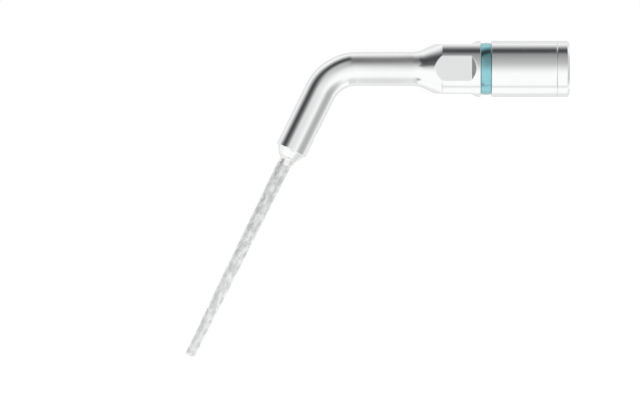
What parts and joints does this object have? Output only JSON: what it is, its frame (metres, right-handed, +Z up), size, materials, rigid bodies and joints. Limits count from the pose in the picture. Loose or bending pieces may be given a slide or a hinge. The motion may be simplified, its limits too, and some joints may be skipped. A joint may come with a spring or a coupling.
{
  "type": "dental ultrasonic scaler tip",
  "caption": "Bent steel tip for an ultrasonic scaler: threaded round base with square wrench flats and a coloured ring, a curved neck, and a long diamond-coated needle.",
  "frame": {"origin": "centre of the rear seat face, on the axis of the threaded socket", "axes": "+X out of the rear along the socket's axis, towards the handpiece; the bend lies in the plane Y = 0 and the needle runs down towards -X and -Z; +Z is up"},
  "size_m": [0.037, 0.0054, 0.0305],
  "materials": {
    "polished_steel": "mirror-polished stainless steel, turned and milled",
    "ring_turquoise": "clear turquoise lacquer over bright metal, glossy",
    "needle_steel": "ground steel wire",
    "diamond_grit": "fine diamond grit in electroplated nickel, light grey",
    "braze_metal": "bright silver braze, satin"
  },
  "bodies": {
    "root": {"tip_body": "polished_steel", "colour_ring": "ring_turquoise", "needle_core": "needle_steel", "diamond_coat": "diamond_grit", "braze_joint": "braze_metal"}
  },
  "joints": []
}
